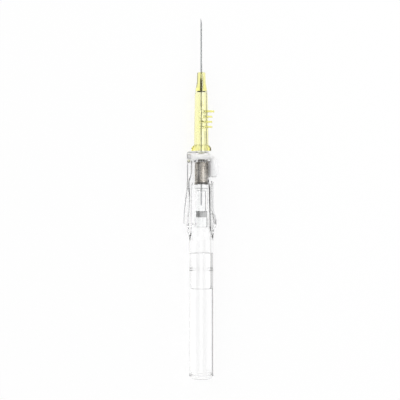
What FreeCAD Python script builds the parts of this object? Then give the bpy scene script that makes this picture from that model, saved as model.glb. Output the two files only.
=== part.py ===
import FreeCAD, Part
import os
import re
import Sketcher

# Safety intravenous cannula, 24 gauge, lying on its side as it comes to rest on a table.
# Every piece is drawn about the needle's axis, which is the local Y axis. Its zero is the
# flat front face of the grip: "ahead" runs to the needle's tip, "behind" to the closed end
# of the barrel. The push button is on the +X side. Millimetres throughout.
SIZES = {
    # needle and the catheter over it
    "needle_radius": 0.25,
    "needle_bore_radius": 0.13,
    "needle_tip_ahead": 52.3,
    "needle_rear_behind": 20.7,
    "bevel_long": 1.9,
    "notch_from_tip": 5.2,
    "notch_long": 0.6,
    "catheter_radius": 0.35,
    "catheter_bore_radius": 0.28,
    "catheter_tip_ahead": 49.9,
    "catheter_taper_long": 1.4,
    "catheter_tip_wall": 0.03,
    # metal wedge that grips the catheter in the hub
    "wedge_wall": 0.1,
    "wedge_flange_thick": 0.35,
    "wedge_bore_radius": 0.33,
    "wedge_flange_radius": 1.85,
    "wedge_mouth_radius": 0.8,
    "wedge_flange_ahead": 23.6,
    "wedge_cone_ahead": 27.0,
    "wedge_front_ahead": 28.6,
    # coloured catheter hub
    "hub_front_ahead": 31.0,
    "hub_nose_ahead": 26.9,
    "hub_flare_ahead": 24.2,
    "hub_shoulder_ahead": 22.2,
    "hub_rear_ahead": 0.4,
    "hub_nose_radius": 1.7,
    "hub_flare_radius": 2.2,
    "hub_front_radius": 2.5,
    "hub_rear_radius": 2.8,
    "hub_mouth_radius": 2.15,
    "luer_slope": 0.03,
    "luer_depth": 9.2,
    "collar_radius": 3.15,
    "collar_long": 2.2,
    "lug_radius": 3.9,
    "lug_half_wide": 2.1,
    "lug_flat_long": 1.2,
    "tab_ahead": 15.4,
    "tab_thick": 0.7,
    "tab_reach": 5.05,
    "tab_half_wide": 2.4,
    "rib_ahead": 9.4,
    "rib_pitch": 1.98,
    "rib_count": 3,
    "rib_thick": 0.65,
    "rib_reach": 4.3,
    "rib_half_wide": 2.1,
    "rib_corner": 0.7,
    # carrier that holds the needle: neck, shaft, spring seat and flashback chamber
    "neck_flange_radius": 1.2,
    "neck_flange_long": 1.5,
    "neck_radius": 0.8,
    "shaft_radius": 1.8,
    "seat_radius": 2.9,
    "seat_behind": 13.0,
    "seat_thick": 1.2,
    "chamber_radius": 2.55,
    "chamber_bore_radius": 1.5,
    "carrier_rear_behind": 29.25,
    "fin_long": 3.6,
    "fin_thick": 0.7,
    "fin_count": 4,
    "plug_radius": 2.1,
    "plug_front_behind": 23.0,
    "plug_long": 2.4,
    # coil spring, compressed round the shaft
    "wire_radius": 0.28,
    "spring_radius": 2.85,
    "spring_turns": 6,
    "spring_gap": 0.05,
    # grip
    "head_left": 5.6,
    "head_right": 2.9,
    "side_right": 4.8,
    "flare_left": 6.95,
    "lip_right": 6.1,
    "neck_left": 5.8,
    "waist_behind": 12.0,
    "lip_behind": 27.9,
    "cone_rear_behind": 34.3,
    "cone_step": 0.05,
    "cone_right": 5.05,
    "cone_front_radius": 6.95,
    "body_corner": 1.9,
    "front_rounding": 0.7,
    "tube_radius": 4.45,
    "tube_step_behind": 11.8,
    "web_half_thick": 2.4,
    "valley_front_behind": 3.6,
    "valley_rear_behind": 32.0,
    "valley_left": 4.7,
    "valley_right": 4.1,
    "nose_long": 8.0,
    "nose_bore_radius": 1.3,
    "nose_clearance": 0.04,
    "front_wall": 0.7,
    "latch_slot_long": 2.2,
    "latch_slot_half_wide": 3.1,
    "rear_wall": 0.6,
    "shaft_hole_radius": 1.9,
    "grip_bore_radius": 3.05,
    "spigot_bore_radius": 3.6,
    "pocket_floor": 1.9,
    "pocket_tube_radius": 3.65,
    "pocket_rear_behind": 10.1,
    # push button with its latch plate
    "button_reach": 6.95,
    "button_crown": 8.0,
    "button_front_behind": 1.6,
    "button_rear_behind": 9.9,
    "button_inner": 3.0,
    "button_half_wide": 3.0,
    "button_rounding": 0.7,
    "button_stroke": 1.2,
    "plate_gap": 0.1,
    "plate_left": 3.8,
    "key_clearance": 0.05,
    # barrel
    "barrel_radius": 4.7,
    "barrel_bore_radius": 4.3,
    "barrel_front_behind": 39.4,
    "barrel_end_behind": 88.3,
    "barrel_end_wall": 1.6,
    "barrel_end_rounding": 1.2,
    "bore_end_rounding": 0.8,
    "spigot_rear_behind": 53.2,
    "spigot_fit": 0.05,
    "bead_behind": 45.6,
    "bead_half_long": 0.75,
    "bead_height": 0.15,
    "fit_gap": 0.02,
}

V = FreeCAD.Vector
document = FreeCAD.newDocument("Cannula")
sheet = document.addObject("Spreadsheet::Sheet", "Sizes")
for row, (alias, number) in enumerate(SIZES.items(), 1):
    sheet.set(f"A{row}", alias)
    sheet.set(f"B{row}", str(number))
    sheet.setAlias(f"B{row}", alias)
document.recompute()


def bound(text):
    """An expression with the sheet's name before each size."""
    return re.sub(r"[a-z_]+", lambda m: "Sizes." + m.group() if m.group() in SIZES else m.group(), text)


def value(text):
    return float(sheet.evalExpression(bound(text)))


def new_body(label):
    body = document.addObject("PartDesign::Body", label)
    body.Label = label
    body.setExpression(".Placement.Base.y", bound("(barrel_end_behind - needle_tip_ahead) / 2"))
    body.setExpression(".Placement.Base.z", bound("barrel_radius"))
    return body


def new_sketch(body, name, plane, offset=None):
    """A sketch on one of the body's own planes, moved along the plane's normal by offset."""
    sketch = body.newObject("Sketcher::SketchObject", name)
    support = next(f for f in body.Origin.OriginFeatures if f.Role == plane)
    sketch.AttachmentSupport = (support, [""])
    sketch.MapMode = "FlatFace"
    if offset is not None:
        sketch.setExpression(".AttachmentOffset.Base.z", bound(offset))
    return sketch


def pin(sketch, kind, element, point, text):
    """Ties a point's distance from the sketch's origin to an expression."""
    index = sketch.addConstraint(Sketcher.Constraint(kind, -1, 1, element, point, value(text)))
    sketch.setExpression(f"Constraints[{index}]", bound(text))


def size(sketch, kind, element, text):
    """Ties a radius to an expression."""
    index = sketch.addConstraint(Sketcher.Constraint(kind, element, value(text)))
    sketch.setExpression(f"Constraints[{index}]", bound(text))


def polygon(sketch, points):
    """A closed outline of straight lines. Each point is a pair of expressions."""
    places = [V(value(a), value(b), 0) for a, b in points]
    first = sketch.GeometryCount
    count = len(points)
    for i in range(count):
        sketch.addGeometry(Part.LineSegment(places[i], places[(i + 1) % count]))
    for i in range(count):
        sketch.addConstraint(
            Sketcher.Constraint("Coincident", first + i, 2, first + (i + 1) % count, 1)
        )
    for i, (a, b) in enumerate(points):
        pin(sketch, "DistanceX", first + i, 1, a)
        pin(sketch, "DistanceY", first + i, 1, b)


def circle(sketch, centre, radius):
    middle = V(value(centre[0]), value(centre[1]), 0)
    index = sketch.addGeometry(Part.Circle(middle, V(0, 0, 1), value(radius)))
    size(sketch, "Radius", index, radius)
    pin(sketch, "DistanceX", index, 3, centre[0])
    pin(sketch, "DistanceY", index, 3, centre[1])


def turned(body, name, points, kind="PartDesign::Revolution"):
    """A solid, or with PartDesign::Groove a cut, turned about the needle's axis."""
    sketch = new_sketch(body, name + "Outline", "XY_Plane")
    polygon(sketch, points)
    feature = body.newObject(kind, name)
    feature.Profile = sketch
    feature.ReferenceAxis = (sketch, ["V_Axis"])
    feature.Angle = 360
    return feature


def bored(body, name, points):
    return turned(body, name, points, "PartDesign::Groove")


def extruded(body, name, sketch, length, kind="PartDesign::Pad", both_ways=True):
    """A pad or a pocket of the sketch, half its length to each side unless told otherwise."""
    feature = body.newObject(kind, name)
    feature.Profile = sketch
    if both_ways:
        feature.SideType = "Symmetric"
    feature.setExpression("Length", bound(length))
    return feature


def softened(body, name, feature, amount, chosen, kind="PartDesign::Chamfer"):
    """A chamfer or fillet on the feature's edges that the test picks by their ends and middle."""
    document.recompute()
    names = []
    for i, edge in enumerate(feature.Shape.Edges, 1):
        ends = [v.Point for v in edge.Vertexes]
        middle = edge.valueAt((edge.FirstParameter + edge.LastParameter) / 2)
        if chosen(edge, ends, middle):
            names.append(f"Edge{i}")
    dressing = body.newObject(kind, name)
    dressing.Base = (feature, names)
    dressing.setExpression("Size" if kind.endswith("Chamfer") else "Radius", bound(amount))
    return dressing


# Needle: a ground steel tube. The bevel faces the button's side, and the small notch in the
# wall lets blood show between needle and catheter.
needle = new_body("needle")
turned(
    needle,
    "NeedleTube",
    [
        ("needle_bore_radius", "-needle_rear_behind"),
        ("needle_radius", "-needle_rear_behind"),
        ("needle_radius", "needle_tip_ahead"),
        ("needle_bore_radius", "needle_tip_ahead"),
    ],
)
bevel_outline = new_sketch(needle, "BevelOutline", "XY_Plane")
polygon(
    bevel_outline,
    [
        ("-needle_radius", "needle_tip_ahead"),
        ("-needle_radius", "needle_tip_ahead + needle_radius"),
        ("needle_radius * 2", "needle_tip_ahead + needle_radius"),
        ("needle_radius * 2", "needle_tip_ahead - bevel_long * 1.5"),
    ],
)
extruded(needle, "Bevel", bevel_outline, "needle_radius * 4", "PartDesign::Pocket")
notch_outline = new_sketch(needle, "NotchOutline", "XY_Plane")
polygon(
    notch_outline,
    [
        ("needle_bore_radius * 0.4", "needle_tip_ahead - notch_from_tip"),
        ("needle_radius * 2", "needle_tip_ahead - notch_from_tip"),
        ("needle_radius * 2", "needle_tip_ahead - notch_from_tip - notch_long"),
        ("needle_bore_radius * 0.4", "needle_tip_ahead - notch_from_tip - notch_long"),
    ],
)
extruded(needle, "Notch", notch_outline, "needle_radius * 4", "PartDesign::Pocket")

# Catheter: a thin tube with a tapered tip, flared at its rear over the wedge's front.
catheter_tube = new_body("catheter_tube")
wedge_out = "(wedge_bore_radius + wedge_wall)"
flare_bore = f"({wedge_out} + fit_gap)"
catheter_wall = "(catheter_radius - catheter_bore_radius)"
turned(
    catheter_tube,
    "CatheterTube",
    [
        (flare_bore, "wedge_cone_ahead + fit_gap * 5"),
        (f"{flare_bore} + {catheter_wall}", "wedge_cone_ahead + fit_gap * 5"),
        (f"{flare_bore} + {catheter_wall}", "wedge_front_ahead + fit_gap"),
        ("catheter_radius", "hub_front_ahead - 0.4"),
        ("catheter_radius", "catheter_tip_ahead - catheter_taper_long"),
        ("catheter_bore_radius + catheter_tip_wall", "catheter_tip_ahead"),
        ("catheter_bore_radius", "catheter_tip_ahead"),
        ("catheter_bore_radius", "hub_front_ahead - 0.4"),
        (flare_bore, "wedge_front_ahead + fit_gap"),
    ],
)

# Wedge: a drawn metal funnel. Its flange shows as the dark line across the hub.
catheter_wedge = new_body("catheter_wedge")
turned(
    catheter_wedge,
    "Wedge",
    [
        ("wedge_mouth_radius", "wedge_flange_ahead"),
        ("wedge_flange_radius", "wedge_flange_ahead"),
        ("wedge_flange_radius", "wedge_flange_ahead + wedge_flange_thick"),
        ("wedge_mouth_radius + wedge_wall", "wedge_flange_ahead + wedge_flange_thick"),
        (wedge_out, "wedge_cone_ahead"),
        (wedge_out, "wedge_front_ahead"),
        ("wedge_bore_radius", "wedge_front_ahead"),
        ("wedge_bore_radius", "wedge_cone_ahead"),
    ],
)

# Hub: one moulding with luer lugs at its rear, a push tab and three ribs on the button's side.
catheter_hub = new_body("catheter_hub")
collar_front = "(hub_rear_ahead + collar_long)"
turned(
    catheter_hub,
    "LugRing",
    [
        ("0", "hub_rear_ahead"),
        ("lug_radius", "hub_rear_ahead"),
        ("lug_radius", "hub_rear_ahead + lug_flat_long"),
        ("collar_radius", collar_front),
        ("0", collar_front),
    ],
)
lug_sides = new_sketch(catheter_hub, "LugSides", "XZ_Plane")
for side in ("", "-"):
    inner, outer = f"{side}lug_half_wide", f"{side}(lug_radius * 1.2)"
    wide = "lug_radius * 1.2"
    polygon(lug_sides, [(f"-{wide}", inner), (wide, inner), (wide, outer), (f"-{wide}", outer)])
extruded(catheter_hub, "LugFlats", lug_sides, "hub_shoulder_ahead", "PartDesign::Pocket")
turned(
    catheter_hub,
    "HubBody",
    [
        ("0", "hub_rear_ahead"),
        ("collar_radius", "hub_rear_ahead"),
        ("collar_radius", f"{collar_front} - 0.25"),
        ("collar_radius - 0.2", collar_front),
        ("hub_rear_radius", collar_front),
        ("hub_front_radius", "hub_shoulder_ahead"),
        ("hub_flare_radius", "hub_flare_ahead"),
        ("hub_nose_radius", "hub_nose_ahead"),
        ("hub_nose_radius - 0.05", "hub_front_ahead - 0.3"),
        ("hub_nose_radius - 0.35", "hub_front_ahead"),
        ("0", "hub_front_ahead"),
    ],
)


def side_plate(name, ahead, reach, half_wide, thick):
    """A plate with rounded corners that stands out of the hub towards +X."""
    sketch = new_sketch(catheter_hub, name + "Outline", "XZ_Plane", f"-({ahead})")
    polygon(
        sketch,
        [
            ("0", f"-{half_wide}"),
            (f"{reach} - rib_corner", f"-{half_wide}"),
            (reach, f"rib_corner - {half_wide}"),
            (reach, f"{half_wide} - rib_corner"),
            (f"{reach} - rib_corner", half_wide),
            ("0", half_wide),
        ],
    )
    plate = extruded(catheter_hub, name, sketch, thick, both_ways=False)
    plate.Reversed = True
    return plate


side_plate("PushTab", "tab_ahead", "tab_reach", "tab_half_wide", "tab_thick")
rib = side_plate("Rib", "rib_ahead", "rib_reach", "rib_half_wide", "rib_thick")
ribs = catheter_hub.newObject("PartDesign::LinearPattern", "Ribs")
ribs.Originals = [rib]
ribs.Direction = (rib.Profile[0], ["N_Axis"])
ribs.Mode = "Spacing"
ribs.setExpression("Offset", bound("rib_pitch"))
ribs.setExpression("Occurrences", bound("rib_count"))
ribs.Reversed = True
catheter_hub.Tip = ribs
document.recompute()
if ribs.Shape.BoundBox.YMax > SIZES["hub_front_ahead"] + 0.1:
    ribs.Reversed = False
luer_inner = "(hub_mouth_radius - luer_slope * luer_depth)"
bored(
    catheter_hub,
    "HubBore",
    [
        ("0", "hub_rear_ahead - 1"),
        ("hub_mouth_radius", "hub_rear_ahead - 1"),
        ("hub_mouth_radius", "hub_rear_ahead"),
        (luer_inner, "hub_rear_ahead + luer_depth"),
        (luer_inner, "wedge_flange_ahead + wedge_flange_thick + fit_gap"),
        ("wedge_mouth_radius + wedge_wall + fit_gap", "wedge_flange_ahead + wedge_flange_thick + fit_gap"),
        (f"{flare_bore} + {catheter_wall} + fit_gap", "wedge_cone_ahead"),
        (f"{flare_bore} + {catheter_wall} + fit_gap", "wedge_front_ahead + fit_gap"),
        ("catheter_radius + fit_gap", "hub_front_ahead - 0.4"),
        ("catheter_radius + fit_gap", "hub_front_ahead + 1"),
        ("0", "hub_front_ahead + 1"),
    ],
)

# Needle hub: neck in the latch plate, shaft under the spring, flashback chamber at the rear.
needle_hub = new_body("needle_hub")
slot_rear = "(front_wall + latch_slot_long)"
turned(
    needle_hub,
    "CarrierBody",
    [
        ("0", "neck_flange_long - front_wall"),
        ("neck_flange_radius - 0.2", "neck_flange_long - front_wall"),
        ("neck_flange_radius", "neck_flange_long - front_wall - 0.2"),
        ("neck_flange_radius", "-front_wall"),
        ("neck_radius", "-front_wall"),
        ("neck_radius", f"-{slot_rear}"),
        ("shaft_radius", f"-{slot_rear}"),
        ("shaft_radius", "-seat_behind"),
        ("seat_radius", "-seat_behind"),
        ("seat_radius", "-(seat_behind + seat_thick)"),
        ("chamber_radius", "-(seat_behind + seat_thick)"),
        ("chamber_radius", "-carrier_rear_behind"),
        ("0", "-carrier_rear_behind"),
    ],
)
fin_outline = new_sketch(needle_hub, "FinOutline", "XY_Plane")
fin_front = "-(carrier_rear_behind - fin_long)"
polygon(
    fin_outline,
    [
        ("chamber_radius - 0.3", "-carrier_rear_behind"),
        ("seat_radius", "-carrier_rear_behind"),
        ("seat_radius", f"{fin_front} - 0.7"),
        ("chamber_radius - 0.3", fin_front),
    ],
)
fin = extruded(needle_hub, "Fin", fin_outline, "fin_thick")
fins = needle_hub.newObject("PartDesign::PolarPattern", "Fins")
fins.Originals = [fin]
fins.Axis = (fin_outline, ["V_Axis"])
fins.Angle = 360
fins.setExpression("Occurrences", bound("fin_count"))
needle_hub.Tip = fins
bored(
    needle_hub,
    "CarrierBore",
    [
        ("0", "2"),
        ("needle_radius + fit_gap", "2"),
        ("needle_radius + fit_gap", "-(seat_behind + seat_thick)"),
        ("chamber_bore_radius", "-(seat_behind + seat_thick + 1.3)"),
        ("chamber_bore_radius", "-plug_front_behind"),
        ("plug_radius + fit_gap", "-plug_front_behind"),
        ("plug_radius + fit_gap", "-(carrier_rear_behind + 1)"),
        ("0", "-(carrier_rear_behind + 1)"),
    ],
)

# Vent plug: a porous disc that lets air out of the chamber and keeps blood in.
vent_plug = new_body("vent_plug")
turned(
    vent_plug,
    "Plug",
    [
        ("0", "-(plug_front_behind + fit_gap)"),
        ("plug_radius", "-(plug_front_behind + fit_gap)"),
        ("plug_radius", "-(plug_front_behind + plug_long)"),
        ("0", "-(plug_front_behind + plug_long)"),
    ],
)

# Spring: one length of wire between the grip's rear wall and the carrier's seat.
spring = new_body("spring")
wire_outline = new_sketch(spring, "WireSection", "XY_Plane")
spring_front = f"({slot_rear} + rear_wall + spring_gap + wire_radius)"
spring_rear = "(seat_behind - spring_gap - wire_radius)"
wire_middle = "(spring_radius - wire_radius)"
wire_flat = "(wire_radius * 0.9)"
polygon(
    wire_outline,
    [
        (f"{wire_middle} - {wire_flat}", f"-({spring_rear} + {wire_flat})"),
        (f"{wire_middle} + {wire_flat}", f"-({spring_rear} + {wire_flat})"),
        (f"{wire_middle} + {wire_flat}", f"-({spring_rear} - {wire_flat})"),
        (f"{wire_middle} - {wire_flat}", f"-({spring_rear} - {wire_flat})"),
    ],
)
coil = spring.newObject("PartDesign::AdditiveHelix", "Coil")
coil.Profile = wire_outline
coil.ReferenceAxis = (wire_outline, ["V_Axis"])
coil.Mode = "height-turns-angle"
coil.Angle = 0
coil.setExpression("Height", bound(f"{spring_rear} - {spring_front}"))
coil.setExpression("Turns", bound("spring_turns"))

# Grip: one clear moulding. A tube with a thick rim along each side, a luer nose in front and
# a spigot with a snap bead behind. The head holds the latch slot and the button's pocket.
grip = new_body("grip")
side_outline = new_sketch(grip, "SideOutline", "XY_Plane")
flare_long = "(lip_behind - waist_behind)"
flare = "(flare_left - head_left)"
lip = "(lip_right - side_right)"
polygon(
    side_outline,
    [
        ("-head_left", "0"),
        ("-head_left", "-waist_behind"),
        (f"-(head_left + {flare} * 0.5)", f"-(waist_behind + {flare_long} * 0.45)"),
        (f"-(head_left + {flare} * 0.86)", f"-(waist_behind + {flare_long} * 0.78)"),
        ("-flare_left", "-lip_behind"),
        ("lip_right", "-lip_behind"),
        (f"side_right + {lip} * 0.55", f"-(waist_behind + {flare_long} * 0.82)"),
        (f"side_right + {lip} * 0.08", f"-(waist_behind + {flare_long} * 0.62)"),
        ("side_right", f"-(waist_behind + {flare_long} * 0.45)"),
        ("side_right", "0"),
    ],
)
side_pad = extruded(grip, "SidePad", side_outline, "barrel_radius * 2")
softened(
    grip,
    "LongRounding",
    side_pad,
    "body_corner",
    lambda edge, ends, middle: all(abs(abs(p.z) - SIZES["barrel_radius"]) < 1e-4 for p in ends)
    and middle.y < -0.1
    and middle.y > 0.1 - SIZES["lip_behind"],
    "PartDesign::Fillet",
)
rear_outline = new_sketch(grip, "RearOutline", "XY_Plane")
cone_long = "(cone_rear_behind - lip_behind)"
cone_end = "(barrel_radius - cone_step)"
polygon(
    rear_outline,
    [
        ("-neck_left", "-lip_behind"),
        (f"-{cone_end}", "-cone_rear_behind"),
        (cone_end, "-cone_rear_behind"),
        ("cone_right", f"-(lip_behind + {cone_long} * 0.36)"),
        ("lip_right - 0.45", f"-(lip_behind + {cone_long} * 0.16)"),
        ("lip_right", "-lip_behind"),
    ],
)
extruded(grip, "RearPad", rear_outline, "barrel_radius * 2")
rear_cone = bored(
    grip,
    "RearCone",
    [
        ("cone_front_radius", "-lip_behind"),
        ("cone_front_radius * 2", "-lip_behind"),
        ("cone_front_radius * 2", "-(cone_rear_behind + 1)"),
        (cone_end, "-(cone_rear_behind + 1)"),
        (cone_end, "-cone_rear_behind"),
    ],
)
softened(
    grip,
    "FrontRounding",
    rear_cone,
    "front_rounding",
    lambda edge, ends, middle: abs(middle.y) < 1e-4 and all(abs(p.y) < 1e-4 for p in ends),
)
pocket_outline = new_sketch(grip, "PocketOutline", "XY_Plane")
polygon(
    pocket_outline,
    [
        ("head_right", "2"),
        ("pocket_floor + 10", "2"),
        ("pocket_floor + 10", "-(pocket_rear_behind + 6)"),
        ("pocket_floor", "-pocket_rear_behind"),
        ("pocket_floor", f"-{slot_rear}"),
        ("head_right", f"-{slot_rear}"),
    ],
)
extruded(grip, "ButtonPocket", pocket_outline, "barrel_radius * 3", "PartDesign::Pocket")
valleys = new_sketch(grip, "ValleyOutlines", "XZ_Plane", "valley_front_behind")
for side in ("", "-"):
    low, high = f"{side}web_half_thick", f"{side}(barrel_radius + 1)"
    left, right = "-valley_left", "valley_right"
    polygon(valleys, [(left, low), (right, low), (right, high), (left, high)])
valley_long = "valley_rear_behind - valley_front_behind"
cut = extruded(grip, "Valleys", valleys, valley_long, "PartDesign::Pocket", both_ways=False)
cut.Reversed = True
nose_at_face = "(hub_mouth_radius - nose_clearance + luer_slope * hub_rear_ahead)"
spigot = "(barrel_bore_radius - spigot_fit)"
turned(
    grip,
    "NoseTubeAndSpigot",
    [
        ("0", "nose_long"),
        (f"{nose_at_face} - luer_slope * nose_long - 0.15", "nose_long"),
        (f"{nose_at_face} - luer_slope * (nose_long - 0.15)", "nose_long - 0.15"),
        (nose_at_face, "0"),
        (nose_at_face, "-front_wall / 2"),
        ("pocket_floor - 0.5", "-front_wall / 2"),
        ("pocket_floor - 0.5", f"-{slot_rear}"),
        ("pocket_tube_radius", f"-{slot_rear}"),
        ("pocket_tube_radius", "-tube_step_behind"),
        ("tube_radius", "-(tube_step_behind + 1.4)"),
        ("tube_radius", "-cone_rear_behind"),
        ("barrel_radius", "-cone_rear_behind"),
        ("barrel_radius", "-barrel_front_behind"),
        (spigot, "-barrel_front_behind"),
        (spigot, "-(bead_behind - bead_half_long)"),
        (f"{spigot} + bead_height", "-(bead_behind - bead_half_long / 3)"),
        (f"{spigot} + bead_height", "-(bead_behind + bead_half_long / 3)"),
        (spigot, "-(bead_behind + bead_half_long)"),
        (spigot, "-(spigot_rear_behind - 0.3)"),
        (f"{spigot} - 0.2", "-spigot_rear_behind"),
        ("0", "-spigot_rear_behind"),
    ],
)
slot_outline = new_sketch(grip, "LatchSlotOutline", "XY_Plane")
polygon(
    slot_outline,
    [
        ("-(plate_left + button_stroke + plate_gap)", "-front_wall"),
        ("head_right + 5", "-front_wall"),
        ("head_right + 5", f"-{slot_rear}"),
        ("-(plate_left + button_stroke + plate_gap)", f"-{slot_rear}"),
    ],
)
extruded(grip, "LatchSlot", slot_outline, "latch_slot_half_wide * 2", "PartDesign::Pocket")
bored(
    grip,
    "GripBore",
    [
        ("0", "nose_long + 1"),
        ("nose_bore_radius", "nose_long + 1"),
        ("nose_bore_radius", f"-({slot_rear} - 0.1)"),
        ("shaft_hole_radius", f"-({slot_rear} - 0.1)"),
        ("shaft_hole_radius", f"-({slot_rear} + rear_wall)"),
        ("grip_bore_radius", f"-({slot_rear} + rear_wall)"),
        ("grip_bore_radius", "-(seat_behind + seat_thick)"),
        ("spigot_bore_radius", "-cone_rear_behind"),
        ("spigot_bore_radius", "-(spigot_rear_behind + 1)"),
        ("0", "-(spigot_rear_behind + 1)"),
    ],
)

# Button: a latch plate with a keyhole, and a convex pad that saddles the grip's tube.
button = new_body("button")
plate_rear = "(front_wall + latch_slot_long - plate_gap)"
plate_outline = new_sketch(button, "PlateOutline", "XY_Plane")
polygon(
    plate_outline,
    [
        ("-plate_left", "-(front_wall + plate_gap)"),
        ("button_inner + 0.5", "-(front_wall + plate_gap)"),
        ("button_inner + 1.4", "-button_front_behind"),
        ("button_inner + 1.4", f"-{plate_rear}"),
        ("-plate_left", f"-{plate_rear}"),
    ],
)
extruded(button, "LatchPlate", plate_outline, "button_half_wide * 2")
pad_outline = new_sketch(button, "PadOutline", "XY_Plane")
pad_middle = "((button_front_behind + button_rear_behind) / 2)"
half_pad = "((button_rear_behind - button_front_behind) / 2)"
crown_end = value(f"button_reach - button_crown + sqrt(button_crown ^ 2 - {half_pad} ^ 2)")
pad_front, pad_rear = -value("button_front_behind"), -value("button_rear_behind")
pad_inner = value("button_inner")
crown_top = V(value("button_reach"), -value(pad_middle), 0)
pad_outline.addGeometry(Part.LineSegment(V(pad_inner, pad_rear, 0), V(crown_end, pad_rear, 0)))
crown = Part.Arc(V(crown_end, pad_rear, 0), crown_top, V(crown_end, pad_front, 0))
pad_outline.addGeometry(crown)
pad_outline.addGeometry(Part.LineSegment(V(crown_end, pad_front, 0), V(pad_inner, pad_front, 0)))
pad_outline.addGeometry(Part.LineSegment(V(pad_inner, pad_front, 0), V(pad_inner, pad_rear, 0)))
for i in range(4):
    pad_outline.addConstraint(Sketcher.Constraint("Coincident", i, 2, (i + 1) % 4, 1))
for element in (0, 2):
    pad_outline.addConstraint(Sketcher.Constraint("Horizontal", element))
pad_outline.addConstraint(Sketcher.Constraint("Vertical", 3))
pin(pad_outline, "DistanceX", 0, 1, "button_inner")
pin(pad_outline, "DistanceY", 0, 1, "-button_rear_behind")
pin(pad_outline, "DistanceY", 2, 1, "-button_front_behind")
pin(pad_outline, "DistanceX", 1, 3, "button_reach - button_crown")
pin(pad_outline, "DistanceY", 1, 3, f"-{pad_middle}")
size(pad_outline, "Radius", 1, "button_crown")
pad = extruded(button, "Pad", pad_outline, "button_half_wide * 2")
softened(
    button,
    "PadRounding",
    pad,
    "button_rounding",
    lambda edge, ends, middle: middle.x > SIZES["button_inner"] + 1.5
    and (middle.x > 5.5 or edge.Curve.TypeId != "Part::GeomLine"),
)
saddle_outline = new_sketch(button, "SaddleOutline", "XZ_Plane", slot_rear)
circle(saddle_outline, ("button_stroke", "0"), "pocket_tube_radius + plate_gap")
saddle = extruded(
    button, "Saddle", saddle_outline, "button_rear_behind + 2", "PartDesign::Pocket", both_ways=False
)
saddle.Reversed = True
key_outline = new_sketch(button, "KeyOutline", "XZ_Plane", "front_wall - 1")
circle(key_outline, ("0", "0"), "neck_radius + key_clearance")
key = extruded(
    button, "KeySlot", key_outline, "latch_slot_long + 2", "PartDesign::Pocket", both_ways=False
)
key.Reversed = True
release_outline = new_sketch(button, "ReleaseOutline", "XZ_Plane", "front_wall - 1")
circle(release_outline, ("button_stroke", "0"), "neck_flange_radius + key_clearance * 2")
release = extruded(
    button, "ReleaseHole", release_outline, "latch_slot_long + 2", "PartDesign::Pocket", both_ways=False
)
release.Reversed = True

# Barrel: one clear moulding with a closed end, snapped over the grip's spigot.
barrel = new_body("barrel")
end_soft = "barrel_end_rounding"
turned(
    barrel,
    "BarrelBody",
    [
        ("0", "-barrel_front_behind"),
        ("barrel_radius", "-barrel_front_behind"),
        ("barrel_radius", f"-(barrel_end_behind - {end_soft})"),
        (f"barrel_radius - {end_soft} * 0.3", f"-(barrel_end_behind - {end_soft} * 0.3)"),
        (f"barrel_radius - {end_soft}", "-barrel_end_behind"),
        ("0", "-barrel_end_behind"),
    ],
)
bead_top = f"({spigot} + bead_height + fit_gap)"
bore_end = "(barrel_end_behind - barrel_end_wall)"
bored(
    barrel,
    "BarrelBore",
    [
        ("0", "-(barrel_front_behind - 1)"),
        ("barrel_bore_radius", "-(barrel_front_behind - 1)"),
        ("barrel_bore_radius", "-(bead_behind - bead_half_long)"),
        (bead_top, "-(bead_behind - bead_half_long / 3)"),
        (bead_top, "-(bead_behind + bead_half_long / 3)"),
        ("barrel_bore_radius", "-(bead_behind + bead_half_long)"),
        ("barrel_bore_radius", f"-({bore_end} - bore_end_rounding)"),
        ("barrel_bore_radius - bore_end_rounding", f"-{bore_end}"),
        ("0", f"-{bore_end}"),
    ],
)

document.recompute()
for item in document.Objects:
    if "Invalid" in item.State or "Error" in item.State:
        raise RuntimeError(f"{item.Label} did not build: {item.State}")

PIECES = [
    needle,
    catheter_tube,
    catheter_wedge,
    catheter_hub,
    needle_hub,
    vent_plug,
    spring,
    grip,
    button,
    barrel,
]
os.makedirs("parts", exist_ok=True)
for piece in PIECES:
    shape = piece.Shape
    if shape.isNull() or not shape.isValid():
        raise RuntimeError(f"{piece.Label} is not a valid solid")
    shape.exportStep(f"parts/{piece.Label}.step")
    box = shape.BoundBox
    print(
        f"{piece.Label}: {len(shape.Solids)} solid, {shape.Volume:.3f} mm3, "
        f"X {box.XMin:.2f} {box.XMax:.2f}, Y {box.YMin:.2f} {box.YMax:.2f}, Z {box.ZMin:.2f} {box.ZMax:.2f}"
    )
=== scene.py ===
from math import cos, hypot, pi, sin, sqrt

import bmesh
import bpy
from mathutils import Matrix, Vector


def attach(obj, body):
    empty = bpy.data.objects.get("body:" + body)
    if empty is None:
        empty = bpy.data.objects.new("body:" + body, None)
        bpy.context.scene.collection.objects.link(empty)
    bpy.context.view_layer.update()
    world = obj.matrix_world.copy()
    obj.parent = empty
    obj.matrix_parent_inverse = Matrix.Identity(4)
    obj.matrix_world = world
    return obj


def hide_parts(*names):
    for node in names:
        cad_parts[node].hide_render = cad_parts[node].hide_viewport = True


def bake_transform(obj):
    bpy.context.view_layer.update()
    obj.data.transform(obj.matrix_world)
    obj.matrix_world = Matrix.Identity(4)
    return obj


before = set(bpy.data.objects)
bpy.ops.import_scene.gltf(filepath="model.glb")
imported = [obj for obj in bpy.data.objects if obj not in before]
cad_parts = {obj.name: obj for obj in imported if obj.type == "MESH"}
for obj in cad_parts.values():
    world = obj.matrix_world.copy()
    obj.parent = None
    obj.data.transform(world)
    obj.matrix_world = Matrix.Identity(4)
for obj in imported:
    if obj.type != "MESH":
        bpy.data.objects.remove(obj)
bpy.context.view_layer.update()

# Push-button safety intravenous cannula, dressed for looks. Sizes in this script are in
# millimetres, measured from the flat front face of the grip: +y runs to the needle's tip and
# x, z are measured from the needle's axis. place() turns them into the frame's metres.
AHEAD, AXIS_HIGH = 18.0, 4.7


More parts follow.
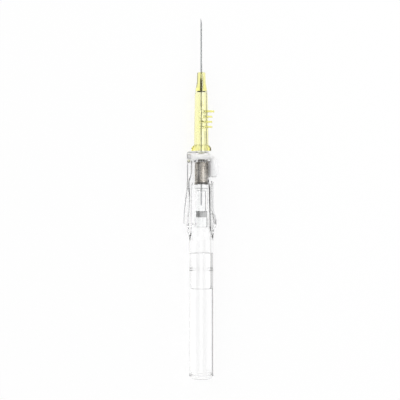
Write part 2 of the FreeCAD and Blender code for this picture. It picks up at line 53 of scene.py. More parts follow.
def place(x, y, z):
    return Vector((x, y + AHEAD, z + AXIS_HIGH)) * 0.001


# ---------------------------------------------------------------- mesh helpers
SMALL_TURN = 0.02  # radians: a smaller corner stays as it is
CUT_SHARE = 0.45  # the most of a side that one corner's arc takes
LONG_SIDE, GUIDE = 0.5, 0.1  # longer sides get guide points that far from their ends
NO_LENGTH = 1e-6
WELD = 1e-4
CRISP = 32  # degrees: moulded edges sharper than this stay crisp


def link(name, data):
    """Adds an object that holds the data to the scene."""
    thing = bpy.data.objects.new(name, data)
    bpy.context.scene.collection.objects.link(thing)
    return thing


def finish_mesh(name, bm, sharp=CRISP):
    """Links the built mesh as a smooth object with crisp edges above an angle in degrees."""
    for v in bm.verts:
        v.co = place(*v.co)
    bmesh.ops.recalc_face_normals(bm, faces=bm.faces)
    mesh = bpy.data.meshes.new(name)
    bm.to_mesh(mesh)
    bm.free()
    mesh.shade_smooth()
    mesh.set_sharp_from_angle(angle=sharp * pi / 180)
    return link(name, mesh)


def rounded(corners, closed, radius=0.12, steps=4):
    """An outline of (a, b) or (a, b, radius) corners, each rounded by an arc. Guide points
    beside the arcs keep the straight parts straight when the surface is shaded smooth."""
    line = []
    for i, corner in enumerate(corners):
        here = Vector(corner[:2])
        own = corner[2] if len(corner) > 2 else radius
        if not closed and i in (0, len(corners) - 1) or own <= 0:
            line.append(here)
            continue
        back = Vector(corners[i - 1][:2]) - here
        ahead = Vector(corners[(i + 1) % len(corners)][:2]) - here
        turn = pi - back.angle(ahead)
        if turn < SMALL_TURN:
            line.append(here)
            continue
        cut = min(own * sin(turn / 2) / cos(turn / 2),
                  CUT_SHARE * back.length, CUT_SHARE * ahead.length)
        arc = cut * cos(turn / 2) / sin(turn / 2)
        middle = here + (back.normalized() + ahead.normalized()).normalized() * hypot(arc, cut)
        start = here + back.normalized() * cut - middle
        end = here + ahead.normalized() * cut - middle
        swing = start.angle(end)
        parts = max(2, round(steps * turn / (pi / 2)) + 1)
        for k in range(parts + 1):
            t = k / parts
            way = (start * sin((1 - t) * swing) + end * sin(t * swing)) / sin(swing)
            line.append(middle + way)
    guided = []
    for i, point in enumerate(line):
        guided.append(point)
        if i + 1 == len(line) and not closed:
            break
        span = line[(i + 1) % len(line)] - point
        if span.length > LONG_SIDE:
            guided.append(point + span.normalized() * GUIDE)
            guided.append(point + span - span.normalized() * GUIDE)
    return [(p.x, p.y) for p in guided]


def lathe(outline, around=96, steps=4):
    """A solid turned about the needle's axis from (radius, y) corners. An outline that starts
    and ends at radius 0 closes there, and any other one is a ring."""
    solid = outline[0][0] == 0 and outline[-1][0] == 0
    turns = [2 * pi * k / around for k in range(around)]
    bm = bmesh.new()
    rings = []
    for r, y in rounded(outline, not solid, steps=steps):
        if r < NO_LENGTH:
            rings.append([bm.verts.new((0, y, 0))])
        else:
            rings.append([bm.verts.new((r * cos(t), y, r * sin(t))) for t in turns])
    for i in range(len(rings) - solid):
        one, two = rings[i], rings[(i + 1) % len(rings)]
        for k in range(around):
            n = (k + 1) % around
            corners = [one[k % len(one)], one[n % len(one)], two[n % len(two)], two[k % len(two)]]
            bm.faces.new(list(dict.fromkeys(corners)))
    return bm


def skin(bm, rings):
    """Faces between closed rings of points, capped at both ends."""
    for one, two in zip(rings, rings[1:]):
        for k in range(len(one)):
            n = (k + 1) % len(one)
            bm.faces.new((one[k], one[n], two[n], two[k]))
    bm.faces.new(rings[0])
    bm.faces.new(rings[-1])


def stack(layers):
    """A solid through closed layers of points."""
    bm = bmesh.new()
    skin(bm, [[bm.verts.new(p) for p in layer] for layer in layers])
    return bm


def plate(outline, low, high, axis="z", edge=0.12, radius=0.3):
    """A flat solid of that outline between two heights along an axis, with eased edges. Its
    outline is in x, y for axis z, in x, z for axis y and in y, z for axis x."""
    line = rounded(outline, True, radius)
    middle = Vector((sum(p[0] for p in line), sum(p[1] for p in line))) / len(line)
    layers = []
    for k in range(9):
        t = pi / 2 * min(k, 8 - k) / 4
        inset = edge * (1 - sin(t))
        height = low + edge - edge * cos(t) if k < 5 else high - edge + edge * cos(t)
        layer = []
        for p in line:
            away = Vector(p) - middle
            spot = list(middle + away * (1 - inset / max(away.length, NO_LENGTH)))
            spot.insert("xyz".index(axis), height)
            layer.append(spot)
        layers.append(layer)
    return stack(layers)


def shifted(bm, x):
    for v in bm.verts:
        v.co.x += x
    return bm


def combine(base, others, operation):
    """base united with, or cut by, each of the others. All are bmeshes of closed solids."""
    scratch = []

    def as_object(bm):
        bmesh.ops.recalc_face_normals(bm, faces=bm.faces)
        mesh = bpy.data.meshes.new("scratch")
        bm.to_mesh(mesh)
        bm.free()
        scratch.append(link("scratch", mesh))
        return scratch[-1]

    body = as_object(base)
    for other in others:
        change = body.modifiers.new("change", "BOOLEAN")
        change.operation = operation
        change.solver = "EXACT"
        change.object = as_object(other)
    depsgraph = bpy.context.evaluated_depsgraph_get()
    result = bmesh.new()
    result.from_mesh(bpy.data.meshes.new_from_object(body.evaluated_get(depsgraph)))
    for thing in scratch:
        bpy.data.objects.remove(thing)
    bmesh.ops.remove_doubles(result, verts=result.verts, dist=WELD)
    return result


# ---------------------------------------------------------------- shader helpers
# The Mix node's sockets: the share, then the two inputs and the output of its kind.
SHARE = 0
COLOUR_ONE, COLOUR_TWO, COLOUR_OUT = 6, 7, 2
NUMBER_ONE, NUMBER_TWO, NUMBER_OUT = 2, 3, 0
SEEN_RAYS = ("Is Camera Ray", "Is Transmission Ray", "Is Glossy Ray")
WHITE = (1, 1, 1, 1)


def tree(name):
    """An empty material, its nodes, its links and its output."""
    material = bpy.data.materials.new(name)
    material.use_nodes = True
    nodes, links = material.node_tree.nodes, material.node_tree.links
    nodes.clear()
    output = nodes.new("ShaderNodeOutputMaterial")
    return material, nodes, links, output


def add(nodes, kind, **settings):
    """A new shader node with those inputs set. An underscore stands for a space."""
    node = nodes.new("ShaderNode" + kind)
    for name, value in settings.items():
        node.inputs[name.replace("_", " ")].default_value = value
    return node


def maths(nodes, links, operation, source, *others):
    """A calculation on a source. The others are numbers or sources."""
    node = nodes.new("ShaderNodeMath")
    node.operation = operation
    links.new(source, node.inputs[0])
    for socket, other in zip(node.inputs[1:], others):
        if isinstance(other, (int, float)):
            socket.default_value = other
        else:
            links.new(other, socket)
    return node.outputs[0]


def seen_rays(nodes, links, path):
    """1 for a ray that shows this surface to the camera, straight or by way of the object."""
    camera, through, mirror = (path.outputs[kind] for kind in SEEN_RAYS)
    return maths(nodes, links, "MAXIMUM", maths(nodes, links, "MAXIMUM", camera, through), mirror)


def mixed(nodes, links, share, one, two, output):
    """Gives the output shader one with that share of shader two."""
    mix = nodes.new("ShaderNodeMixShader")
    links.new(share, mix.inputs["Fac"])
    links.new(one.outputs[0], mix.inputs[1])
    links.new(two.outputs[0], mix.inputs[2])
    links.new(mix.outputs["Shader"], output.inputs["Surface"])


def grain(nodes, links, scale, stretch=(1, 1, 1), detail=3.0):
    """Noise in the object's own metres, stretched along an axis where the mould drew it."""
    where = nodes.new("ShaderNodeTexCoord")
    mapping = add(nodes, "Mapping", Scale=stretch)
    links.new(where.outputs["Object"], mapping.inputs["Vector"])
    noise = add(nodes, "TexNoise", Scale=scale, Detail=detail)
    links.new(mapping.outputs["Vector"], noise.inputs["Vector"])
    return noise.outputs["Fac"]


def dull(nodes, links, body, noise, low, high):
    """Roughness that runs from low to high over a noise's middle range."""
    reach = add(nodes, "MapRange", From_Min=0.3, From_Max=0.7, To_Min=low, To_Max=high)
    links.new(noise, reach.inputs["Value"])
    links.new(reach.outputs["Result"], body.inputs["Roughness"])


def uneven(nodes, links, body, noise, strength, depth):
    """Bumps on the surface, that many metres deep."""
    bump = add(nodes, "Bump", Strength=strength, Distance=depth)
    links.new(noise, bump.inputs["Height"])
    links.new(bump.outputs["Normal"], body.inputs["Normal"])


def two_tone(nodes, links, noise, spots, colours):
    """The noise as a colour that turns from one to the other between two of its values."""
    tone = nodes.new("ShaderNodeValToRGB")
    for element, spot, colour in zip(tone.color_ramp.elements, spots, colours):
        element.position, element.color = spot, (*colour, 1)
    links.new(noise, tone.inputs["Fac"])
    return tone.outputs["Color"]


# ---------------------------------------------------------------- materials
def clear(name, colour, shade, smooth=(0.02, 0.06), waves=0.02, ior=1.49, deep=None):
    """See-through moulded plastic with waves that many millimetres deep. Lamps shine through
    it, with shade as the light left. deep is the colour and the density of its own tint."""
    material, nodes, links, output = tree(name)
    body = add(nodes, "BsdfPrincipled", Base_Color=(*colour, 1), Transmission_Weight=1, IOR=ior)
    dull(nodes, links, body, grain(nodes, links, 900, (1, 0.25, 1)), *smooth)
    uneven(nodes, links, body, grain(nodes, links, 260, (1, 0.35, 1), 2.0), 1.0, waves * 0.001)
    through = add(nodes, "BsdfTransparent", Color=(*shade, 1))
    path = nodes.new("ShaderNodeLightPath")
    mixed(nodes, links, path.outputs["Is Shadow Ray"], body, through, output)
    if deep:
        absorb = add(nodes, "VolumeAbsorption", Color=(*deep[0], 1), Density=deep[1])
        links.new(absorb.outputs["Volume"], output.inputs["Volume"])
    return material


def steel(name, colour, rough, stretch, scale=2500, painted_shade=None):
    """Drawn or ground steel, with fine lines along the way that it was drawn. painted_shade names
    a vertex attribute that darkens it with painted shade."""
    material, nodes, links, output = tree(name)
    body = add(nodes, "BsdfPrincipled", Metallic=1)
    lines = grain(nodes, links, scale, stretch)
    dull(nodes, links, body, lines, *rough)
    tone = two_tone(nodes, links, lines, (0.3, 0.7), ([c * 0.8 for c in colour], colour))
    # Painted shade: the attribute mixes in a near-black copy of the steel's colour.
    if painted_shade:
        mark = nodes.new("ShaderNodeAttribute")
        mark.attribute_name = painted_shade
        dark = nodes.new("ShaderNodeMix")
        dark.data_type = "RGBA"
        dark.inputs[COLOUR_TWO].default_value = (*[c * 0.12 for c in colour], 1)
        links.new(mark.outputs["Fac"], dark.inputs[SHARE])
        links.new(tone, dark.inputs[COLOUR_ONE])
        tone = dark.outputs[COLOUR_OUT]
    links.new(tone, body.inputs["Base Color"])
    uneven(nodes, links, body, lines, 0.4, 0.000005)
    links.new(body.outputs["BSDF"], output.inputs["Surface"])
    return material


def milky(name):
    """White plastic that light soaks into."""
    material, nodes, links, output = tree(name)
    body = add(
        nodes, "BsdfPrincipled", Base_Color=(0.97, 0.97, 0.98, 1), Transmission_Weight=0.1,
        Subsurface_Weight=0.8, Subsurface_Radius=(1, 1, 1), Subsurface_Scale=0.003, IOR=1.45,
    )
    fine = grain(nodes, links, 700, detail=1.5)
    dull(nodes, links, body, fine, 0.26, 0.38)
    uneven(nodes, links, body, fine, 0.5, 0.000004)
    links.new(body.outputs["BSDF"], output.inputs["Surface"])
    return material


def porous(name):
    """Grey plastic pressed from grains."""
    material, nodes, links, output = tree(name)
    body = nodes.new("ShaderNodeBsdfPrincipled")
    pores = grain(nodes, links, 4500, detail=2.0)
    tone = two_tone(nodes, links, pores, (0.35, 0.6), ([0.3] * 3, [0.52] * 3))
    links.new(tone, body.inputs["Base Color"])
    dull(nodes, links, body, pores, 0.8, 0.95)
    uneven(nodes, links, body, pores, 0.8, 0.00004)
    links.new(body.outputs["BSDF"], output.inputs["Surface"])
    return material


clear_plastic = clear("clear_moulding", (1, 1, 1), (0.985, 0.985, 0.985))
carrier_plastic = clear("carrier_moulding", (0.99, 0.995, 0.995), (0.98, 0.98, 0.98), waves=0.03)
barrel_plastic = clear("barrel_moulding", (1, 1, 1), (0.99, 0.99, 0.99), waves=0.004)
hub_plastic = clear(
    "yellow_moulding", (1.0, 1.0, 0.9), (0.99, 0.97, 0.8), deep=((0.985, 0.96, 0.4), 420)
)
sleeve_plastic = clear(
    "catheter_film", (0.9, 0.91, 0.9), (0.9, 0.9, 0.9), smooth=(0.15, 0.3), waves=0.002, ior=1.35
)
needle_steel = steel("needle_steel", (0.36, 0.37, 0.38), (0.18, 0.34), (1, 0.05, 1))
# The spring's wire carries painted shade on its last turns, through a vertex attribute.
spring_steel = steel("spring_wire", (0.6, 0.555, 0.49), (0.2, 0.35), (1, 1, 1), 1500, "painted_shade")
wedge_steel = steel("wedge_steel", (0.05, 0.05, 0.03), (0.25, 0.4), (1, 0.2, 1))
button_plastic = milky("button_moulding")
plug_plastic = porous("porous_disc")


def wear(piece, material, slot, rides, *nodes):
    """Gives a new piece its material and its body, and hides the nodes that it replaces. slot is
    not used.
    """
    piece.data.materials.append(material)
    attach(piece, rides)
    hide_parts(*nodes)


# ---------------------------------------------------------------- barrel
# The groove near y -45.6 holds the bead of the grip's spigot.
barrel = finish_mesh("barrel_tube", lathe([
    (0, -86.7),
    (3.92, -86.7, 0.02),
    (4.3, -86.32, 0.02),
    (4.3, -46.15, 0.06),
    (4.42, -45.9, 0.06),
    (4.42, -45.3, 0.06),
    (4.3, -45.05, 0.06),
    (4.3, -39.4, 0.1),
    (4.7, -39.4, 0.12),
    (4.7, -88.3, 1.3),
    (0, -88.3),
], 128, steps=6), 35)
wear(barrel, barrel_plastic, "barrel_plastic", "handle", "barrel")

# ---------------------------------------------------------------- grip
# Tables of (y, distance from the axis): the two sides, the edges' rounding, the broad faces'
# height and the crests of the two rims.
LEFT = [(0, 5.6), (-11.2, 5.6), (-13.2, 5.78), (-16.5, 6.12), (-19.5, 6.42), (-23.5, 6.76),
        (-27.0, 6.93), (-27.75, 6.94), (-27.9, 6.8), (-27.97, 6.2), (-28.1, 5.86), (-28.6, 5.78),
        (-30.8, 5.55), (-33.0, 4.98), (-34.3, 4.67)]
RIGHT = [(0, 4.8), (-20.4, 4.8), (-22.6, 4.9), (-23.9, 5.2), (-25.2, 5.7), (-26.6, 6.03),
         (-27.6, 6.08), (-28.4, 5.95), (-29.4, 5.5), (-30.4, 5.05), (-32.0, 4.84), (-34.3, 4.67)]
CORNER = [(0, 1.9), (-26.0, 1.9), (-29.0, 2.5), (-31.5, 3.6), (-34.3, 4.5)]
HIGH = [(0, 4.7), (-29.0, 4.7), (-34.3, 4.67)]
RIM_LEFT = [(0, 3.75), (-8.8, 3.75), (-11.4, 4.95), (-15.0, 4.62), (-19.5, 4.45), (-22.6, 4.75),
            (-25.5, 5.15), (-28.0, 5.1), (-30.8, 5.0), (-33.0, 4.5), (-34.3, 4.2)]
RIM_RIGHT = [(0, 4.15), (-13.0, 4.05), (-19.0, 4.05), (-23.5, 4.25), (-26.0, 4.7), (-28.0, 4.7),
             (-30.4, 4.5), (-32.0, 4.35), (-34.3, 4.2)]
RIM_OUT, RIM_IN = 0.32, 0.38  # from a rim's crest to its outer and inner edge
FRONT_ROUND = 0.7
LIP_FRONT, LIP_REAR = -27.2, -28.7  # the lip between these keeps its crisp step
VALLEY_FRONT, VALLEY_REAR = (-3.1, -4.4), (-31.6, -33.8)  # where the valley sinks and rises
TUBE = 3.65
TUBE_STEP, STEP_SPAN = 0.8, (-11.6, -13.4)
TUBE_FLARE, FLARE_SPAN = 0.22, (-28.0, -34.0)
WEB_HALF, WEB_BLEND = 2.4, 0.06  # half the web's thickness, and how softly it meets the tube
SLIM = 0.1  # the least that stays flat, or lies between two lines of points
LEAST_CORNER = 0.3
SIDE_POINTS = 4
TOP_POINTS = (12, 9, 46, 9, 12)  # right edge, right rim's slope, valley, left slope, left edge
STATION_GAP = 0.35


def along(table, y):
    """A value between the table's stations, on straight lines through them."""
    if y >= table[0][0]:
        return table[0][1]
    for (y1, a), (y2, b) in zip(table, table[1:]):
        if y >= y2:
            t = (y1 - y) / (y1 - y2)
            return a + (b - a) * t
    return table[-1][1]


def eased(table, y, reach=0.5):
    """The table's mean within reach of y, which softens its bends."""
    return sum(along(table, y + reach * k / 3) for k in (-3, -2, -1, 0, 1, 2, 3)) / 7


def swell(low, high, value):
    """0 before low, 1 after high, and a soft slope between them."""
    t = min(max((value - low) / (high - low), 0), 1)
    return t * t * (3 - 2 * t)


def grip_section(y, inset):
    """The grip's outline at y: a rounded block whose broad faces sink to the tube between the
    rims. Its points keep their places along each rim, so the rims' edges run smooth."""
    near_lip = LIP_REAR < y < LIP_FRONT
    left = (along if near_lip else eased)(LEFT, y) - inset
    right = eased(RIGHT, y) - inset
    high = along(HIGH, y) - inset
    corner = eased(CORNER, y) - inset * 0.5
    corner = max(min(corner, high - SLIM, (left + right) / 2 - SLIM), LEAST_CORNER)
    open_here = swell(*VALLEY_FRONT, y) * (1 - swell(*VALLEY_REAR, y))
    tube = TUBE + TUBE_STEP * swell(*STEP_SPAN, y) + TUBE_FLARE * swell(*FLARE_SPAN, y)
    rim_left, rim_right = eased(RIM_LEFT, y, 1.0), eased(RIM_RIGHT, y, 1.0)
    marks = [right, min(rim_right + RIM_OUT, right - SLIM), rim_right - RIM_IN,
             RIM_IN - rim_left, max(-rim_left - RIM_OUT, SLIM - left), -left]

    def outer(x):
        side = right if x > 0 else left
        over = max(abs(x) - (side - corner), 0)
        return high - corner + sqrt(max(corner * corner - over * over, 0))

    def valley(x):
        round_top = sqrt(max(tube * tube - x * x, 0))
        soft = sqrt((round_top - WEB_HALF) ** 2 + WEB_BLEND)
        return WEB_HALF + (soft + round_top - WEB_HALF) / 2

    top = [(right, (high - corner) * k / SIDE_POINTS) for k in range(SIDE_POINTS)]
    for part, count in enumerate(TOP_POINTS):
        start, end = marks[part], marks[part + 1]
        for k in range(count):
            t = k / count
            sunk = (0, swell(0, 1, t), 1, 1 - swell(0, 1, t), 0)[part]
            if part == 0:
                t = 1 - cos(t * pi / 2)
            if part == 4:
                t = sin(t * pi / 2)
            x = start + (end - start) * t
            z = outer(x)
            top.append((x, z - open_here * sunk * max(z - valley(x), 0)))
    for k in range(SIDE_POINTS + 1):
        top.append((-left, (high - corner) * (SIDE_POINTS - k) / SIDE_POINTS))
    ring = top + [(x, -z) for x, z in reversed(top[1:-1])]
    return [(x, y, z) for x, z in ring]


def spaced(first, last):
    """Stations without inset from first back to last."""
    found, y = [], first
    while y > last:
        found.append((y, 0))
        y -= STATION_GAP
    return found


front_turns = [pi / 2 * (6 - k) / 6 for k in range(7)]
stations = [(-FRONT_ROUND * (1 - sin(t)), FRONT_ROUND * (1 - cos(t))) for t in front_turns]
stations += spaced(-1.0, -27.1)
lip = (-27.2, -27.5, -27.7, -27.8, -27.87, -27.92, -27.97, -28.03, -28.12, -28.3)
stations += [(y, 0) for y in lip]
stations += spaced(-28.6, -34.2)
stations.append((-34.3, 0))
block = stack([grip_section(y, inset) for y, inset in stations])
pocket = plate([
    (2.9, 2), (12, 2), (12, -16.1), (1.9, -10.1, 0.5), (1.9, -2.8, 0), (2.9, -2.8, 0),
], -8, 8, edge=0.02, radius=0.05)
# Nose, the wall in front of the latch, the tube and the spigot with its bead.
core = lathe([
    (0, 8.0),
    (1.88, 8.0, 0.15),
    (2.12, 0.0, 0.0),
    (2.12, -0.4, 0.0),
    (1.4, -0.4, 0.0),
    (1.4, -2.9, 0.0),
    (3.62, -2.9, 0.05),
    (3.62, -11.8, 0.3),
    (4.40, -13.2, 0.3),
    (4.40, -34.2, 0.0),
    (4.70, -34.3, 0.05),
    (4.70, -39.4, 0.12),
    (4.25, -39.4, 0.05),
    (4.25, -45.05, 0.06),
    (4.40, -45.3, 0.06),
    (4.40, -45.9, 0.06),
    (4.25, -46.15, 0.06),
    (4.25, -53.2, 0.12),
    (0, -53.2),
], 128)
slot = plate(
    [(-5.1, -0.7), (8, -0.7), (8, -2.9), (-5.1, -2.9)], -3.1, 3.1, edge=0.05, radius=0.12
)
bore = lathe([
    (0, 9),
    (1.5, 9, 0),
    (1.3, 8.0, 0.1),
    (1.3, -2.8, 0.05),
    (1.9, -2.8, 0.05),
    (1.9, -3.5, 0.08),
    (3.05, -3.5, 0.15),
    (3.05, -14.2, 1.0),
    (3.6, -34.3, 0.6),
    (3.6, -53.05, 0.03),
    (3.85, -53.3, 0),
    (3.85, -54.2, 0),
    (0, -54.2),
], 128)
bm = combine(block, [pocket], "DIFFERENCE")
bm = combine(bm, [core], "UNION")
bm = combine(bm, [slot, bore], "DIFFERENCE")
grip = finish_mesh("grip_moulding", bm)
wear(grip, clear_plastic, "grip_plastic", "handle", "grip")

# ---------------------------------------------------------------- hub
HUB_SIDE = [(22.2, 2.5), (2.6, 2.8)]  # (y, radius) of the cone that carries the ribs
LUG_HALF = 2.1
# Each rib: its rear face's y, its reach, half its width and its thickness. The first is the tab.
RIBS = ((15.4, 5.05, 2.4, 0.7), (9.4, 4.3, 2.1, 0.65), (11.38, 4.3, 2.1, 0.65),
        (13.36, 4.3, 2.1, 0.65))
RIDGE_HIGH, RIDGE_SUNK = 0.22, 0.3
RIDGE_LEFT = -0.9  # the ridges run round the hub's right side, from here

body = lathe([
    (0, 31.0),
    (1.6, 31.0, 0.3),
    (1.7, 27.2, 1.5),
    (2.2, 24.2, 1.0),
    (2.5, 22.2, 1.5),
    (2.8, 2.75, 0.15),
    (2.98, 2.6, 0.1),
    (3.15, 2.45, 0.15),
    (3.15, 0.4, 0.12),
    (0, 0.4),
], 128)
lugs = lathe([(0, 0.4), (3.9, 0.4, 0.12), (3.9, 1.6, 0.2), (3.15, 2.6, 0.2), (0, 2.6)])
for low, high in ((-5, -LUG_HALF), (LUG_HALF, 5)):
    flat = plate([(-5, -1), (5, -1), (5, 4), (-5, 4)], low, high, edge=0.02, radius=0.02)
    lugs = combine(lugs, [flat], "DIFFERENCE")
stands = [plate([
    (0.4, -half), (reach, -half, 0.75), (reach, half, 0.75), (0.4, half),
], rear, rear + thick, "y", 0.14, 0.2) for rear, reach, half, thick in RIBS]
bm = combine(body, [lugs] + stands, "UNION")
ridges = []
for rear in sorted(rib[0] for rib in RIBS):
    r = along(HUB_SIDE, rear)
    ring = lathe([
        (r - RIDGE_SUNK, rear - 0.1, 0),
        (r + 0.02, rear - 0.1, 0),
        (r + RIDGE_HIGH, rear + 0.08, 0.08),
        (r + RIDGE_HIGH, rear + 0.57, 0.08),
        (r + 0.02, rear + 0.75, 0),
        (r - RIDGE_SUNK, rear + 0.75, 0),
    ], 128)
    left_part = plate([
        (-5, rear - 1), (RIDGE_LEFT, rear - 1), (RIDGE_LEFT, rear + 2), (-5, rear + 2),
    ], -5, 5, edge=0.02, radius=0.02)
    ridges.append(combine(ring, [left_part], "DIFFERENCE"))
bm = combine(bm, ridges, "UNION")
socket = lathe([
    (0, -1),
    (2.3, -1, 0),
    (2.3, 0.3, 0),
    (2.15, 0.45, 0.1),
    (1.874, 9.6, 0.1),
    (1.874, 23.72, 0.05),
    (0.56, 23.72, 0.05),
    (0.54, 28.62, 0.3),
    (0.37, 30.6, 0.2),
    (0.37, 30.8, 0),
    (0.6, 31.2, 0),
    (0, 31.2),
])
bm = combine(bm, [socket], "DIFFERENCE")
hub = finish_mesh("hub_moulding", bm)
wear(hub, hub_plastic, "hub_plastic", "catheter", "catheter_hub")

# ---------------------------------------------------------------- wedge
wedge = finish_mesh("wedge_sleeve", lathe([
    (0.33, 28.6, 0),
    (0.43, 28.6, 0.03),
    (0.5, 23.7, 0.05),
    (1.6, 23.7, 0.05),
    (1.6, 23.2, 0.05),
    (0.4, 23.2, 0.05),
], 64))
wear(wedge, wedge_steel, "wedge_steel", "catheter", "catheter_wedge")

# ---------------------------------------------------------------- carrier
FIN = [(2.2, -29.2), (2.9, -29.2, 0.15), (2.9, -26.35, 0.25), (2.2, -25.65)]
FIN_HALF = 0.35
# Neck flange, neck, shaft, spring seat and chamber.
bm = lathe([
    (0, 0.8),
    (1.0, 0.8, 0.05),
    (1.2, 0.6, 0.05),
    (1.2, -0.7, 0.08),
    (0.8, -0.7, 0.08),
    (0.8, -2.9, 0.1),
    (1.8, -2.9, 0.15),
    (1.8, -13.0, 0.1),
    (2.9, -13.0, 0.12),
    (2.9, -14.2, 0.12),
    (2.55, -14.2, 0.15),
    (2.55, -29.25, 0.12),
    (0, -29.25),
])
fins = []
for side in (1, -1):
    level = [(r * side, y, *rounding) for r, y, *rounding in FIN]
    upright = [(y, r * side, *rounding) for r, y, *rounding in FIN]
    fins.append(plate(level, -FIN_HALF, FIN_HALF, edge=0.08, radius=0.05))
    fins.append(plate(upright, -FIN_HALF, FIN_HALF, "x", edge=0.08, radius=0.05))
bm = combine(bm, fins, "UNION")
chamber = lathe([
    (0, 2),
    (0.27, 2, 0),
    (0.27, -14.8, 0.05),
    (1.5, -15.1, 0.2),
    (1.5, -23.0, 0.05),
    (2.12, -23.0, 0.05),
    (2.12, -29.1, 0.1),
    (2.3, -29.3, 0),
    (2.3, -30.3, 0),
    (0, -30.3),
])
bm = combine(bm, [chamber], "DIFFERENCE")
carrier = finish_mesh("carrier_body", bm)
wear(carrier, carrier_plastic, "carrier_plastic", "needle_carrier", "needle_hub")

# ---------------------------------------------------------------- button
PAD_INNER, PAD_MIDDLE, PAD_HALF_HIGH = 2.6, -5.765, 3.0
PAD_FLAT = 1.5  # the pad's edges round off beyond this height
EDGE_WIDE, EDGE_LONG = 0.42, 0.2  # the shares that those edges draw in
PAD_LAYERS = 24
CROWN = 0.05
STROKE = 1.2
PAD = rounded([
    (2.6, -1.65, 0.1), (4.6, -1.65, 1.6), (6.3, -3.0, 1.8), (6.93, -5.6, 3.0), (6.85, -7.6, 2.0),
    (6.1, -9.88, 1.3), (2.6, -9.88, 0.1),
], True, steps=8)
layers = []
for k in range(PAD_LAYERS + 1):
    z = PAD_HALF_HIGH * sin((-1 + 2 * k / PAD_LAYERS) * pi / 2)
    over = max(abs(z) - PAD_FLAT, 0) / PAD_FLAT
    ease = 1 - sqrt(max(1 - over * over, 0.0))
    wide = 1 - CROWN * (z / PAD_HALF_HIGH) ** 2 - EDGE_WIDE * ease
    long = 1 - EDGE_LONG * ease
    layers.append([
        (PAD_INNER + (x - PAD_INNER) * wide, PAD_MIDDLE + (y - PAD_MIDDLE) * long, z)
        for x, y in PAD
    ])
saddle = shifted(lathe([(0, -2.8), (3.75, -2.8, 0.1), (3.75, -12, 0), (0, -12)]), STROKE)
bm = combine(stack(layers), [saddle], "DIFFERENCE")
latch = plate([
    (-3.8, -0.8, 0.3), (3.5, -0.8, 0.3), (4.4, -1.65), (4.4, -2.8), (-3.8, -2.8, 0.3),
], -3.0, 3.0, edge=0.1, radius=0.1)
bm = combine(bm, [latch], "UNION")
keyhole = [
    shifted(lathe([(0, 1), (r, 1, 0), (r, -4, 0), (0, -4)], 64), x)
    for r, x in ((0.85, 0.0), (1.3, STROKE))
]
bm = combine(bm, keyhole, "DIFFERENCE")
button = finish_mesh("button_pad", bm)
wear(button, button_plastic, "button_plastic", "button", "button")

# ---------------------------------------------------------------- spring
COIL, TURNS, TURN_POINTS = 2.74, 48, 40
# The wire's section as (outwards, along): an oblong with its corners cut.
DEEP, DEEP_CUT, THICK, THICK_CUT = 0.15, 0.12, 0.072, 0.045
WIRE = ((DEEP, THICK_CUT), (DEEP_CUT, THICK), (-DEEP_CUT, THICK), (-DEEP, THICK_CUT),
        (-DEEP, -THICK_CUT), (-DEEP_CUT, -THICK), (DEEP_CUT, -THICK), (DEEP, -THICK_CUT))
WALL, SEAT, END_GAP = 3.5, 13.0, 0.05
# Painted shade darkens the last turns, on all but their left side.
PAINTED_SHADE_SHARE, PAINTED_SHADE_X = (0.87, 0.92), (-1.4, -0.4)
front, rear = -(WALL + END_GAP + THICK), -(SEAT - END_GAP - THICK)
bm = bmesh.new()
painted_shade = bm.verts.layers.float.new("painted_shade")
rings = []
steps = TURNS * TURN_POINTS
for i in range(steps + 1):
    t = i / steps
    turn = 2 * pi * TURNS * t
    y = front + (rear - front) * t
    out = Vector((cos(turn), 0, sin(turn)))
    ring = []
    for wide, thick in WIRE:
        p = out * (COIL + wide) + Vector((0, y + thick, 0))
        ring.append(bm.verts.new(p))
        ring[-1][painted_shade] = swell(*PAINTED_SHADE_SHARE, t) * swell(*PAINTED_SHADE_X, p.x)
    rings.append(ring)
skin(bm, rings)
spring = finish_mesh("spring_coil", bm, 60)
spring.data.materials.append(spring_steel)
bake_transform(spring)
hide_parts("spring")

# ---------------------------------------------------------------- carried-over nodes
NODE_CRISP = 0.6  # radians

for node, material in (
    ("needle", needle_steel),
    ("catheter_tube", sleeve_plastic),
    ("vent_plug", plug_plastic),
):
    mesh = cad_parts[node].data
    mesh.materials.clear()
    mesh.materials.append(material)
    mesh.shade_smooth()
    mesh.set_sharp_from_angle(angle=NODE_CRISP)


# ---------------------------------------------------------------- studio
def flat_sheet(name, material, left, right, rear, front, high=0.0):
    """A level rectangle in the frame's metres."""
    mesh = bpy.data.meshes.new(name)
    corners = [(left, rear, high), (right, rear, high), (right, front, high), (left, front, high)]
    mesh.from_pydata(corners, [], [(0, 1, 2, 3)])
    mesh.materials.append(material)
    return link(name, mesh)


# The floor glows for the rays that the camera sees, a little more after each clear wall, and
# is plain paper for all others.
GLOW_SHARE, WALL_LIFT = 0.85, 0.0028
material, nodes, links, output = tree("paper_floor")
paper = add(nodes, "BsdfDiffuse", Color=(0.92, 0.92, 0.92, 1))
glow = add(nodes, "Emission", Color=WHITE)
path = nodes.new("ShaderNodeLightPath")
depth = maths(nodes, links, "POWER", path.outputs["Transmission Depth"], 2)
lift = maths(nodes, links, "MULTIPLY_ADD", depth, WALL_LIFT, 1.0)
links.new(lift, glow.inputs["Strength"])
share = maths(nodes, links, "MULTIPLY", seen_rays(nodes, links, path), GLOW_SHARE)
mixed(nodes, links, share, paper, glow, output)
floor = flat_sheet("floor", material, -3, 3, -3, 3)
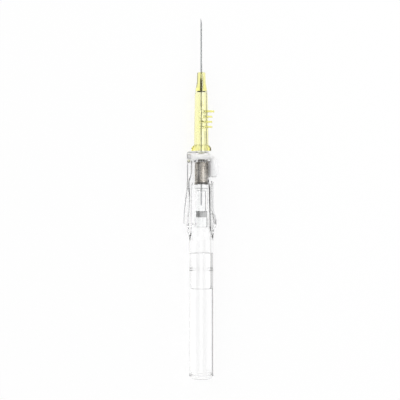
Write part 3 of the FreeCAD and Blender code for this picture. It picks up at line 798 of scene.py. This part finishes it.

# Strips beside the object, seen only through the plastic, are painted shade: grey sheets that
# glow and draw its dark right-hand edges. Each has its brightness, its sides and its ends in
# millimetres of the frame.
for name, shade, left, right, rear, front in (
    ("strip_end", 0.02, 8, 120, -330, -75),
    ("strip_barrel", 0.2, 7, 15, -75, -35.5),
    ("strip_spigot", 0.6, 7, 15, -35.5, -21.5),
    ("strip_cone", 0.75, 9.5, 60, -21.5, -11.6),
    ("strip_grip", 0.02, 9.5, 60, -11.6, 6),
    ("strip_spring", 0.6, 9.5, 60, 6, 18),
    ("strip_hub", 0.15, 7, 15, 18, 42.5),
    ("strip_nose", 0.3, 2.2, 15, 42.5, 52),
):
    material, nodes, links, output = tree(name)
    grey = add(nodes, "Emission", Color=(shade, shade, shade, 1))
    links.new(grey.outputs["Emission"], output.inputs["Surface"])
    card = flat_sheet(
        name, material, left / 1000, right / 1000, rear / 1000, front / 1000, 0.0001
    )
    card.visible_camera = card.visible_shadow = False
    card.visible_diffuse = card.visible_glossy = False

# The room's brightness from its left side (0) to its right side (1). The camera sees it white,
# and diffuse rays see an even light.
ROOM = ((0.04, 1), (0.12, 0.04), (0.28, 0.04), (0.36, 0.6), (0.46, 1), (0.54, 1), (0.64, 0.7),
        (0.9, 1))
EVEN_LIGHT = 0.85
world = bpy.data.worlds.new("studio")
bpy.context.scene.world = world
world.use_nodes = True
nodes, links = world.node_tree.nodes, world.node_tree.links
nodes.clear()
output = nodes.new("ShaderNodeOutputWorld")
plain = add(nodes, "Background", Color=WHITE)
lamp = add(nodes, "Background", Color=WHITE, Strength=EVEN_LIGHT)
where = nodes.new("ShaderNodeTexCoord")
sides = nodes.new("ShaderNodeSeparateXYZ")
links.new(where.outputs["Generated"], sides.inputs["Vector"])
shift = add(nodes, "MapRange", From_Min=-1, From_Max=1)
links.new(sides.outputs["X"], shift.inputs["Value"])
room = nodes.new("ShaderNodeValToRGB")
room.color_ramp.interpolation = "EASE"
for end, spot in zip(room.color_ramp.elements, (0.0, 1.0)):
    end.position, end.color = spot, WHITE
for spot, value in ROOM:
    mark = room.color_ramp.elements.new(spot)
    mark.color = (value, value, value, 1)
links.new(shift.outputs["Result"], room.inputs["Fac"])
path = nodes.new("ShaderNodeLightPath")
level = nodes.new("ShaderNodeMix")
level.data_type = "FLOAT"
level.inputs[NUMBER_TWO].default_value = 1
links.new(path.outputs["Is Camera Ray"], level.inputs[SHARE])
links.new(room.outputs["Color"], level.inputs[NUMBER_ONE])
links.new(level.outputs[NUMBER_OUT], plain.inputs["Strength"])
mixed(nodes, links, seen_rays(nodes, links, path), lamp, plain, output)

key_data = bpy.data.lights.new("key", "AREA")
key_data.shape = "DISK"
key_data.size = 0.5
key_data.energy = 3.2
key = link("key", key_data)
key.location = (0.55, 0.35, 0.9)
key.rotation_euler = (-key.location).to_track_quat("-Z", "Y").to_euler()

# The camera's view is VIEW_WIDE across at the distance AWAY, both in millimetres.
SENSOR, AWAY, VIEW_WIDE = 36, 450, 156
camera_data = bpy.data.cameras.new("camera")
camera_data.sensor_width = SENSOR
camera_data.lens = SENSOR * AWAY / VIEW_WIDE
camera = link("camera", camera_data)
camera.location = (-0.0005, -0.0007, 0.4547)
bpy.context.scene.camera = camera
bpy.context.scene.view_settings.view_transform = "Standard"
